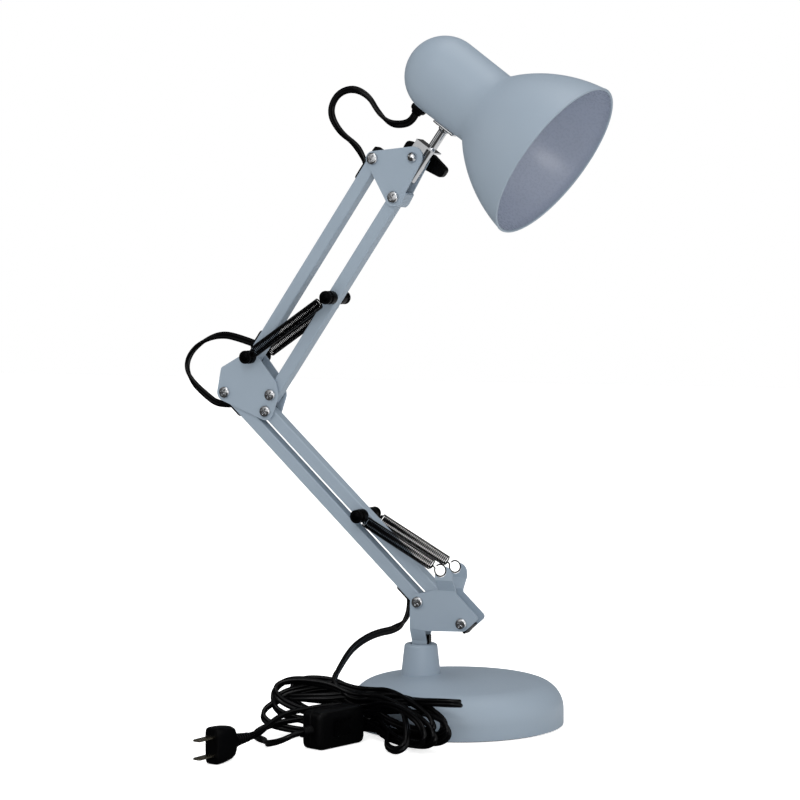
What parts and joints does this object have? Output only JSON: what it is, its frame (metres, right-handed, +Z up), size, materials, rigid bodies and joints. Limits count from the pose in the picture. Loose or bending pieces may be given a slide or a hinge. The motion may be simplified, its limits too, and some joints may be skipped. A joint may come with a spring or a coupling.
{
  "type": "architect lamp",
  "caption": "Balanced-arm desk lamp: spun shade on a tilting swivel rod, sprung parallelogram arms, round weighted base with offset boss, loose flat cord with inline switch and plug.",
  "frame": {"origin": "centre of the base's underside, on the table", "axes": "+Z up; +X the way the shade reaches out, in the plane of the arms; -Y the side with the screw heads"},
  "size_m": [0.3598, 0.3164, 0.5222],
  "materials": {
    "paint": "smooth semi-gloss blue-grey enamel",
    "iron": "bare casting inside the cover",
    "foam_pad": "dense foam, matt",
    "black_plastic": "moulded, slight sheen",
    "rocker_plastic": "moulded, glossy",
    "chrome": "bright plated",
    "pin_steel": "blackened steel",
    "spring_steel": "drawn wire, oiled",
    "socket_brass": "pressed sheet",
    "blade_brass": "plated blades",
    "carrier_steel": "zinc plated sheet",
    "plug_rubber": "moulded vinyl",
    "cord_sheath": "vinyl sheath, satin"
  },
  "bodies": {
    "base": {"base_cover": "paint", "base_weight": "iron", "base_pad": "foam_pad", "swivel_bush": "black_plastic", "switch_shell": "black_plastic", "plug_body": "plug_rubber", "plug_blades": "blade_brass", "cord_plug_lead": "cord_sheath", "cord_switch_lead": "cord_sheath", "cord_hank": "cord_sheath", "cord_foot_base": "cord_sheath"},
    "lower_bracket": {"swivel_pin": "pin_steel", "lower_plate_near": "paint", "lower_plate_far": "paint", "lower_screws": "chrome", "lower_washers": "black_plastic", "cord_foot_bracket": "cord_sheath"},
    "lower_rear_arm": {"lower_rear_tube": "paint", "cord_lower_run": "cord_sheath"},
    "lower_front_arm": {"lower_front_tube": "paint", "lower_front_plugs": "black_plastic", "lower_spools": "black_plastic", "lower_spool_bolt": "chrome", "lower_spring_near": "spring_steel", "lower_spring_far": "spring_steel"},
    "elbow": {"elbow_plate_near": "paint", "elbow_plate_far": "paint", "elbow_screws": "chrome", "elbow_washers": "black_plastic", "elbow_spools": "black_plastic", "elbow_spool_bolt": "chrome", "upper_spring_near": "spring_steel", "upper_spring_far": "spring_steel", "cord_elbow_lower": "cord_sheath"},
    "upper_rear_arm": {"upper_rear_tube": "paint", "upper_rear_plugs": "black_plastic", "cord_upper_run": "cord_sheath", "cord_elbow_upper": "cord_sheath"},
    "upper_front_arm": {"upper_front_tube": "paint", "upper_spools": "black_plastic", "upper_spool_bolt": "chrome"},
    "head_bracket": {"head_plate_near": "paint", "head_plate_far": "paint", "head_web": "paint", "head_screws": "chrome", "head_washers": "black_plastic", "tilt_bolt": "chrome", "cord_head_arm": "cord_sheath"},
    "wing_nut": {"wing_nut": "black_plastic"},
    "head_saddle": {"head_saddle": "chrome", "cord_head_middle": "cord_sheath"},
    "head": {"shade": "paint", "head_rod": "chrome", "cord_gland": "black_plastic", "lamp_socket": "black_plastic", "socket_shell": "socket_brass", "socket_carrier": "carrier_steel", "cord_head_gland": "cord_sheath"},
    "switch_rocker": {"switch_rocker": "rocker_plastic"}
  },
  "joints": [
    {"name": "base_swivel", "type": "hinge", "parent": "base", "child": "lower_bracket", "pos_m": [-0.0305, 0, 0.0586], "axis": [0, 0, 1], "range_deg": [-170, 170], "deforming": ["cord_foot_base"]},
    {"name": "lower_arm_pivot", "type": "hinge", "parent": "lower_bracket", "child": "lower_rear_arm", "pos_m": [-0.0299, 0, 0.0911], "axis": [0, 1, 0], "range_deg": [-6, 60], "deforming": ["cord_foot_bracket"]},
    {"name": "lower_front_pivot", "type": "hinge", "parent": "lower_bracket", "child": "lower_front_arm", "pos_m": [0.00688, 0, 0.07669], "axis": [0, 1, 0], "range_deg": [-6, 60], "deforming": ["lower_spring_near", "lower_spring_far"]},
    {"name": "elbow_level", "type": "hinge", "parent": "lower_rear_arm", "child": "elbow", "pos_m": [-0.19985, 0, 0.24903], "axis": [0, 1, 0], "range_deg": [-60, 6], "deforming": ["cord_elbow_lower"]},
    {"name": "upper_arm_pivot", "type": "hinge", "parent": "elbow", "child": "upper_rear_arm", "pos_m": [-0.17618, 0, 0.27734], "axis": [0, 1, 0], "range_deg": [-12, 50], "deforming": ["cord_elbow_upper"]},
    {"name": "upper_front_pivot", "type": "hinge", "parent": "elbow", "child": "upper_front_arm", "pos_m": [-0.15862, 0, 0.24764], "axis": [0, 1, 0], "range_deg": [-12, 50], "deforming": ["upper_spring_near", "upper_spring_far"]},
    {"name": "head_level", "type": "hinge", "parent": "upper_rear_arm", "child": "head_bracket", "pos_m": [-0.06823, 0, 0.43065], "axis": [0, 1, 0], "range_deg": [-50, 12], "deforming": ["cord_head_arm"]},
    {"name": "head_tilt", "type": "hinge", "parent": "head_bracket", "child": "head_saddle", "pos_m": [-0.03453, 0, 0.43084], "axis": [0, 1, 0], "range_deg": [-40, 40], "deforming": ["cord_head_middle"]},
    {"name": "head_turn", "type": "hinge", "parent": "head_saddle", "child": "head", "pos_m": [-0.02163, 0, 0.43751], "axis": [0.5934, 0, 0.8049], "range_deg": [-90, 90], "deforming": ["cord_head_gland"]},
    {"name": "wing_nut_turn", "type": "hinge", "parent": "head_bracket", "child": "wing_nut", "pos_m": [-0.03453, 0.014, 0.43084], "axis": [0, 1, 0], "continuous": true},
    {"name": "rocker_press", "type": "hinge", "parent": "base", "child": "switch_rocker", "pos_m": [-0.03643, -0.12252, 0.014], "axis": [0, 0, 1], "range_deg": [-14, 0]}
  ],
  "couplings": [
    {"joint": "lower_front_pivot", "follows": "lower_arm_pivot", "ratio": 1},
    {"joint": "elbow_level", "follows": "lower_arm_pivot", "ratio": -1},
    {"joint": "upper_front_pivot", "follows": "upper_arm_pivot", "ratio": 1},
    {"joint": "head_level", "follows": "upper_arm_pivot", "ratio": -1}
  ]
}
